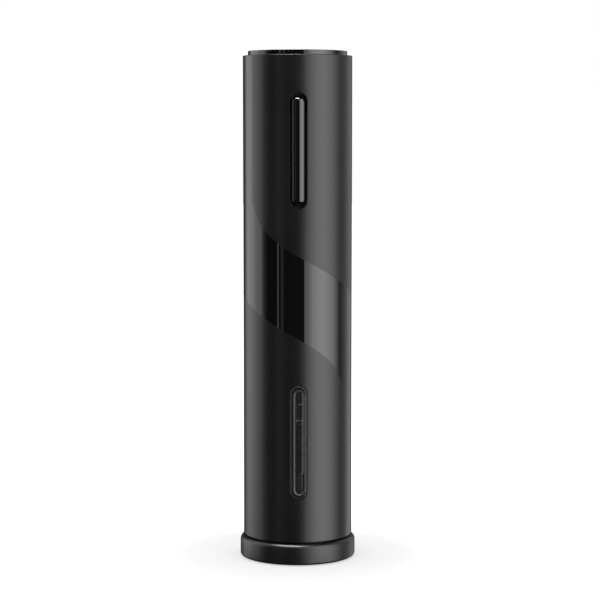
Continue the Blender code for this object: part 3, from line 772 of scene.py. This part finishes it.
def makeLens():
    s = lensShape
    lens = pillPlate("clearWindow", *s["pill"], -(s["step"] - s["lap"]), -s["front"], lensMiddle, 32)
    openEdit(lens)
    # the front rim is rounded, which gives the window its bright outline, helped by the painted highlight
    # given to these leaning faces below
    selectEdges(lens, lambda a, b: min(-a.y, -b.y) > s["front"] - tiny)
    bpy.ops.mesh.bevel(offset=s["edge"], segments=5)
    closeEdit()
    flange = pillPlate("lensFlange", *s["flange"], -s["back"], -s["step"], lensMiddle, 32)
    weld(lens, flange)
    cut(lens, channelTool())
    for mark in windowMarks():
        weld(lens, mark)
    smooth(lens, 25)
    modify(lens, "WEIGHTED_NORMAL", keep_sharp=True)
    finishPiece(lens, lensMaterial, "housing", "smoke_clear", "window_lens")
    # the paler second material is a painted highlight on the leaning faces near the front
    lens.data.materials.append(paintedHighlightEdge())
    for face in lens.data.polygons:
        face.material_index = 1 if isPaintedHighlightFace(face) else 0


wormShape = {
    "tip": 30.0 * mm,
    "tipShare": 0.12,          # the wire's thickness at the point, as a share
    "radius": 3.3 * mm,
    "wire": 1.3 * mm,
    "pitch": 9.6 * mm,
    "straight": 92.0 * mm,
    "top": 102.6 * mm,
    "perTurn": 40,
    "runInTurns": 0.7,         # part of a turn in which the wire runs in to the axis
    "runInPower": 1.5,
}


def wormPoints():
    # places along the wire and its thickness there; it thickens over the first turn
    s = wormShape
    count = int((s["straight"] - s["tip"]) / s["pitch"] * s["perTurn"])
    runIn = int(s["perTurn"] * s["runInTurns"])
    points = []
    for i in range(count + runIn + 1):
        a = math.tau * i / s["perTurn"]
        inward = max(0.0, (i - count) / runIn)
        r = s["radius"] * (1 - inward) ** s["runInPower"]
        z = s["tip"] + i * s["pitch"] / s["perTurn"]
        thickness = min(1.0, s["tipShare"] + (1 - s["tipShare"]) * i / s["perTurn"])
        points.append(((r * math.cos(a), r * math.sin(a), z), thickness))
    points.append(((0, 0, s["top"]), 1.0))
    return points


def makeWorm():
    points = wormPoints()
    curve = bpy.data.curves.new("wormLine", "CURVE")
    curve.dimensions = "3D"
    curve.bevel_depth = wormShape["wire"]
    curve.bevel_resolution = 6
    curve.use_fill_caps = True
    spline = curve.splines.new("POLY")
    spline.points.add(len(points) - 1)
    for target, (place, thickness) in zip(spline.points, points):
        target.co = (*place, 1)
        target.radius = thickness
    worm = bpy.data.objects.new("wormScrew", curve)
    bpy.context.collection.objects.link(worm)
    deselectAll()
    worm.select_set(True)
    bpy.context.view_layer.objects.active = worm
    bpy.ops.object.convert(target="MESH")
    facesOutward(worm)
    smooth(worm, 50)
    finishPiece(worm, slotMaterials["steel"], "drive", "steel", "worm")


guideShape = {
    "mouth": 16.5 * mm,        # room for a bottle's lip
    "outer": 18.2 * mm,
    "flange": (4.2 * mm, 6.2 * mm),   # heights over the guide's lower end
    "flare": 1.3 * mm,
    "flareBend": (0.35 * mm, 1.2 * mm),
    "flareTop": 2.4 * mm,
    "shelf": 19.6 * mm,
    "shelfDepth": 2.4 * mm,
    "bore": 11.8 * mm,
    "roof": 1.6 * mm,
    "slot": (6.4 * mm, 27.0 * mm),
    "slotDepth": (-14 * mm, -21 * mm),
    "slotMiddle": 44.5 * mm,
}


def makeGuide():
    s = guideShape
    low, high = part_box("bottle_guide")
    bottom, top = low.z, high.z
    mouth, outer, shelf, bore = s["mouth"], s["outer"], s["shelf"], s["bore"]
    flangeLow, flangeTop = (bottom + height for height in s["flange"])
    bendOut, bendUp = s["flareBend"]
    foot = 0.2 * mm
    edge = 0.3 * mm
    profile = [(mouth + s["flare"], bottom), (outer - foot, bottom), (outer, bottom + foot),
               (outer, flangeLow), (high.x, flangeLow), (high.x, flangeTop), (outer, flangeTop),
               (outer, top - s["shelfDepth"]), (shelf, top - s["shelfDepth"]), (shelf, top - edge),
               (shelf - edge, top), (bore + edge, top), (bore, top - edge), (bore, top - s["roof"]),
               (mouth, top - s["roof"]), (mouth, bottom + s["flareTop"]), (mouth + bendOut, bottom + bendUp)]
    guide = turnUp("neckGuide", profile, 160)
    cut(guide, pillPlate("guideSlotTool", *s["slot"], *s["slotDepth"], s["slotMiddle"]))
    smooth(guide, 35)
    finishPiece(guide, slotMaterials["inner_black"], "housing", "inner_black", "bottle_guide")


sleeveShape = {
    "cork": 12.4 * mm,
    "skin": 14.0 * mm,
    "flange": 1.6 * mm,
    "flare": (0.4 * mm, 1.0 * mm),
    "slot": (6.4 * mm, 13.0 * mm),
    "slotDepth": (-10 * mm, -16 * mm),
    "slotMiddle": 72.0 * mm,
}


def makeSleeve():
    s = sleeveShape
    low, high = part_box("cork_sleeve")
    cork, skin = s["cork"], s["skin"]
    under = high.z - s["flange"]
    flareOut, flareUp = s["flare"]
    profile = [(cork + flareOut, low.z), (skin, low.z), (skin, under), (high.x, under), (high.x, high.z),
               (cork, high.z), (cork, low.z + flareUp)]
    sleeve = turnUp("corkSleeve", profile, 128)
    cut(sleeve, pillPlate("sleeveSlotTool", *s["slot"], *s["slotDepth"], s["slotMiddle"]))
    smooth(sleeve, 35)
    finishPiece(sleeve, slotMaterials["inner_black"], "housing", "inner_black", "cork_sleeve")


seatShape = {
    "hole": 12.0 * mm,
    "edge": 0.5 * mm,
    "ridge": 0.35 * mm,
    "ridgeStart": 1.2 * mm,
    "ridgeStep": 1.1 * mm,
}


def makeSeat():
    s = seatShape
    low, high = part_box("lip_seat")
    hole, r, ridge = s["hole"], s["edge"], s["ridge"]
    profile = roundCorner((hole + r, low.z + r), r, 180, 270, 4)
    for i in range(3):
        # low ridges under the seat grip the bottle's lip
        centre = hole + s["ridgeStart"] + i * s["ridgeStep"]
        profile += [(centre - ridge, low.z), (centre, low.z + ridge), (centre + ridge, low.z)]
    profile += [(high.x, low.z), (high.x, high.z), (hole, high.z)]
    seat = turnUp("lipSeat", profile, 128)
    smooth(seat, 35)
    finishPiece(seat, slotMaterials["rubber_black"], "housing", "rubber_black", "lip_seat")


ringShape = {
    "fillet": 2.3 * mm,
    "edge": 0.95 * mm,
    "hole": 16.6 * mm,
    "holeEdge": 0.4 * mm,
    "floorTop": 3.4 * mm,
    "rimInner": 23.3 * mm,
    "pad": (18.5 * mm, 23.5 * mm),
    "padDepth": 0.9 * mm,
}


def makeRing():
    s = ringShape
    outer = ringHigh.x
    low, top = ringLow.z, ringHigh.z
    f, e = s["fillet"], s["edge"]
    padInner, padOuter = s["pad"]
    profile = [(s["hole"] + s["holeEdge"], low), (padInner, low), (padInner, low + s["padDepth"]),
               (padOuter, low + s["padDepth"]), (padOuter, low)]
    profile += roundCorner((outer - e, low + e), e, -90, 0, 5)
    profile += roundCorner((outer - f, top - f), f, 0, 90, 12)
    profile += [(s["rimInner"], top), (s["rimInner"], s["floorTop"]), (s["hole"], s["floorTop"]),
                (s["hole"], low + s["holeEdge"])]
    ring = turnUp("baseRing", profile, 256)
    smooth(ring, 35)
    finishPiece(ring, slotMaterials["base_black"], "foil_cutter", "base_black", "foil_cutter_ring")


padShape = {
    "edge": 0.25 * mm,
    "groove": (0.15 * mm, 0.25 * mm),   # half width and depth
    "grooveStart": 0.95 * mm,
    "grooveStep": 0.85 * mm,
}


def makePad():
    s = padShape
    low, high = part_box("foot_pad")
    inner = ringShape["pad"][0] + gap
    r = s["edge"]
    half, depth = s["groove"]
    profile = roundCorner((high.x - r, low.z + r), r, -90, 0, 3)
    profile += [(high.x, high.z), (inner, high.z), (inner, low.z + r), (inner + r, low.z)]
    for i in range(4):
        # shallow grooves round the pad
        centre = inner + s["grooveStart"] + i * s["grooveStep"]
        profile += [(centre - half, low.z), (centre, low.z + depth), (centre + half, low.z)]
    pad = turnUp("footPad", profile, 160)
    smooth(pad, 35)
    finishPiece(pad, slotMaterials["rubber_black"], "foil_cutter", "rubber_black", "foot_pad")


coverShape = {
    "edge": 0.3 * mm,
    "deck": 9.2 * mm,
    "collar": (20.2 * mm, 21.7 * mm),
}


def makeCover():
    s = coverShape
    low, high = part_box("foil_cutter_cover")
    hole = ringShape["hole"]
    edge, deck = s["edge"], s["deck"]
    collarInner, collarOuter = s["collar"]
    profile = [(hole, low.z), (high.x, low.z), (high.x, deck - edge), (high.x - edge, deck),
               (collarOuter, deck), (collarOuter, high.z - edge), (collarOuter - edge, high.z),
               (collarInner + edge, high.z), (collarInner, high.z - edge), (collarInner, deck),
               (hole + edge, deck), (hole, deck - edge)]
    cover = turnUp("cutterCover", profile, 160)
    smooth(cover, 35)
    finishPiece(cover, slotMaterials["base_black"], "foil_cutter", "base_black", "foil_cutter_cover")


wheelShape = {
    "bore": 0.93 * mm,
    # each stop is a radius and half the thickness there, from the hub out to the cutting edge
    "stops": [(1.75 * mm, 1.1 * mm), (1.9 * mm, 0.95 * mm), (1.9 * mm, 0.42 * mm),
              (2.3 * mm, 0.34 * mm), (4.2 * mm, 0.02 * mm)],
}


def makeWheels():
    bore, stops = wheelShape["bore"], wheelShape["stops"]
    half = stops[0][1]
    profile = [(bore, -half)]
    profile += [(radius, -height) for radius, height in stops]
    profile += list(reversed(stops))
    profile += [(bore, half)]
    first = turnUp("foilWheel1", profile, 96)
    smooth(first, 25)
    wheels = [first]
    for i in (2, 3, 4):
        wheel = first.copy()
        wheel.data = first.data.copy()
        wheel.name = "foilWheel%d" % i
        bpy.context.collection.objects.link(wheel)
        wheels.append(wheel)
    for number, wheel in enumerate(wheels, 1):
        node = "cutting_wheel_%d" % number
        low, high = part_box(node)
        wheel.location = (low + high) / 2
        settle(wheel)
        finishPiece(wheel, slotMaterials["steel"], "wheel_%d" % number, "steel", node)


print("stage 2: outside pieces")
makeBody()
makeCap()
makeRocker()
makeLens()
makeRing()
makePad()
makeCover()
makeWheels()
print("stage 3: passages and worm")
makeWorm()
makeGuide()
makeSleeve()
makeSeat()


studio = {
    "wallRadius": 0.95,
    "wallLow": -0.7,
    "wallHigh": 1.3,
    "fade": (-0.72, -0.28),      # heights between which the wall's light comes up
    "leftDrop": 0.22,            # how much higher that happens on the left
    "wallStrength": 5.2,
    "sideSpread": 0.25,          # distance from the middle over which the left side takes over
    # brightness of the wall, as a share, at angles from the camera's side, to the right positive
    "wallSteps": [(-180, 0.01), (-152, 0.015), (-143, 0.08), (-130, 0.31), (-110, 0.43), (-96, 0.34),
                  (-84, 0.33), (-79, 0.13), (-74, 0.05), (-69, 0.02), (-65, 0.004), (-46, 0.006),
                  (-44, 0.003), (-43.3, 0.24), (-41.2, 0.22), (-40.4, 0.001), (-37, 0.012),
                  (-34.5, 0.07), (-31.5, 0.06), (-29, 0.006), (12.4, 0.012), (14.2, 0.36), (19, 0.39),
                  (22, 0.45), (26, 0.60), (31, 0.78), (40, 0.90), (50, 0.99), (58, 0.96), (78, 0.58),
                  (90, 0.22), (98, 0.05), (118, 0.11), (130, 0.16), (143, 0.15), (155, 0.05),
                  (180, 0.01)],
    "topWatts": 26.0,
    "topSize": (0.82, 0.26),
    "topPlace": (-0.20, -0.27, 1.15),
    "topTurn": -36,
    "worldStrength": 1.0,
    "floorGlow": (0.42, 1.1),    # close to the object, and far from it
    "floorFade": (0.045, 0.11),  # distances between which the floor's glow comes up
    "floorPale": 0.62,
    "floorGrain": 1.04,          # how much paler the grain's light spots are
}

cameraPlace = {
    "distance": 850 * mm,
    "height": 190 * mm,
    "azimuth": -0.9,         # degrees from straight in front, to the right positive
    "pitch": 5.102,          # degrees down from level
    "aimRight": 1.06 * mm,
    "lens": 115.55,
}


def addCamera():
    c = cameraPlace
    data = bpy.data.cameras.new("studioCamera")
    data.lens = c["lens"]
    data.sensor_width = 36
    data.clip_end = 50
    cam = bpy.data.objects.new("studioCamera", data)
    bpy.context.collection.objects.link(cam)
    a = math.radians(c["azimuth"])
    place = Vector((c["distance"] * math.sin(a), -c["distance"] * math.cos(a), c["height"]))
    aim = Vector((c["aimRight"] * math.cos(a), c["aimRight"] * math.sin(a), 0))
    ahead = aim - place
    yaw = -math.atan2(ahead.x, ahead.y)
    cam.location = place
    cam.rotation_euler = (math.radians(90 - c["pitch"]), 0, yaw)
    bpy.context.scene.camera = cam


def wallShare(degrees):
    steps = studio["wallSteps"]
    for (start, low), (end, high) in zip(steps, steps[1:]):
        if start <= degrees <= end:
            return low + (high - low) * (degrees - start) / (end - start)
    return 0


def addWall():
    s = studio
    deselectAll()
    bpy.ops.mesh.primitive_circle_add(vertices=720, radius=s["wallRadius"], location=(0, 0, s["wallLow"]))
    wall = bpy.context.object
    wall.name = "lightWall"
    settle(wall)
    openEdit(wall)
    bpy.ops.mesh.select_all(action="SELECT")
    bpy.ops.mesh.extrude_region_move(TRANSFORM_OT_translate={"value": (0, 0, s["wallHigh"] - s["wallLow"])})
    closeEdit()
    shares = wall.data.attributes.new("share", "FLOAT", "POINT")
    for vert, entry in zip(wall.data.vertices, shares.data):
        entry.value = wallShare(math.degrees(math.atan2(vert.co.x, -vert.co.y)))
    mat = bpy.data.materials.new("wallGlow")
    mat.use_nodes = True
    tree = mat.node_tree
    tree.nodes.clear()
    place = addNode(tree, "TexCoord")
    split = addNode(tree, "SeparateXYZ")
    tree.links.new(place.outputs["Object"], split.inputs[0])
    rise = addNode(tree, "MapRange", interpolation_type="SMOOTHSTEP")
    rise.inputs["From Min"].default_value, rise.inputs["From Max"].default_value = s["fade"]
    rise.inputs["To Max"].default_value = s["wallStrength"]
    side = addNode(tree, "MapRange", interpolation_type="SMOOTHSTEP")
    side.inputs["From Min"].default_value = s["sideSpread"]
    side.inputs["From Max"].default_value = -s["sideSpread"]
    side.inputs["To Max"].default_value = s["leftDrop"]
    tree.links.new(split.outputs["X"], side.inputs["Value"])
    height = math2(tree, "SUBTRACT", split.outputs["Z"], side.outputs["Result"])
    tree.links.new(height, rise.inputs["Value"])
    glow = addNode(tree, "Emission")
    tree.links.new(rise.outputs["Result"], glow.inputs["Strength"])
    share = addNode(tree, "Attribute")
    share.attribute_name = "share"
    tree.links.new(share.outputs["Fac"], glow.inputs["Color"])
    out = addNode(tree, "OutputMaterial")
    tree.links.new(glow.outputs[0], out.inputs["Surface"])
    wall.data.materials.append(mat)
    wall.visible_camera = False
    wall.visible_shadow = False
    wall.visible_transmission = False
    wall.visible_diffuse = False


def addTopLight():
    s = studio
    data = bpy.data.lights.new("topSoftbox", "AREA")
    data.shape = "RECTANGLE"
    data.size, data.size_y = s["topSize"]
    data.energy = s["topWatts"]
    light = bpy.data.objects.new("topSoftbox", data)
    light.location = s["topPlace"]
    bpy.context.collection.objects.link(light)
    # it faces straight down, and its long side is swung round the upright
    light.rotation_euler = (0, 0, math.radians(s["topTurn"]))
    light.visible_camera = False
    light.visible_diffuse = False


def addFloor():
    s = studio
    deselectAll()
    bpy.ops.mesh.primitive_plane_add(size=8, location=(0, 0, 0))
    floor = bpy.context.object
    floor.name = "paleFloor"
    pale = s["floorPale"]
    mat, tree, shader = newMaterial("paleFloor", (pale, pale, pale), 0.6)
    shader.inputs["Emission Color"].default_value = (1, 1, 1, 1)
    place = addNode(tree, "TexCoord")
    reach = addNode(tree, "VectorMath", operation="LENGTH")
    tree.links.new(place.outputs["Object"], reach.inputs[0])
    spread = addNode(tree, "MapRange", interpolation_type="SMOOTHSTEP")
    spread.inputs["From Min"].default_value, spread.inputs["From Max"].default_value = s["floorFade"]
    spread.inputs["To Min"].default_value, spread.inputs["To Max"].default_value = s["floorGlow"]
    tree.links.new(reach.outputs["Value"], spread.inputs["Value"])
    tree.links.new(spread.outputs["Result"], shader.inputs["Emission Strength"])
    grain = noiseAt(tree, 3.0, 2.0)
    paler = pale * s["floorGrain"]
    tree.links.new(mixColour(tree, grain, (pale, pale, pale), (paler, paler, paler)),
                   shader.inputs["Base Color"])
    floor.data.materials.append(mat)
    floor.visible_glossy = False
    floor.visible_diffuse = False


def addWorld():
    world = bpy.data.worlds.new("studioWorld")
    world.use_nodes = True
    background = world.node_tree.nodes["Background"]
    background.inputs["Color"].default_value = (1, 1, 1, 1)
    background.inputs["Strength"].default_value = studio["worldStrength"]
    world.cycles_visibility.glossy = False
    bpy.context.scene.world = world


print("stage 4: studio")
bpy.context.scene.view_settings.view_transform = "Standard"
addCamera()
addWall()
addTopLight()
addFloor()
addWorld()

print("stage 5: done")
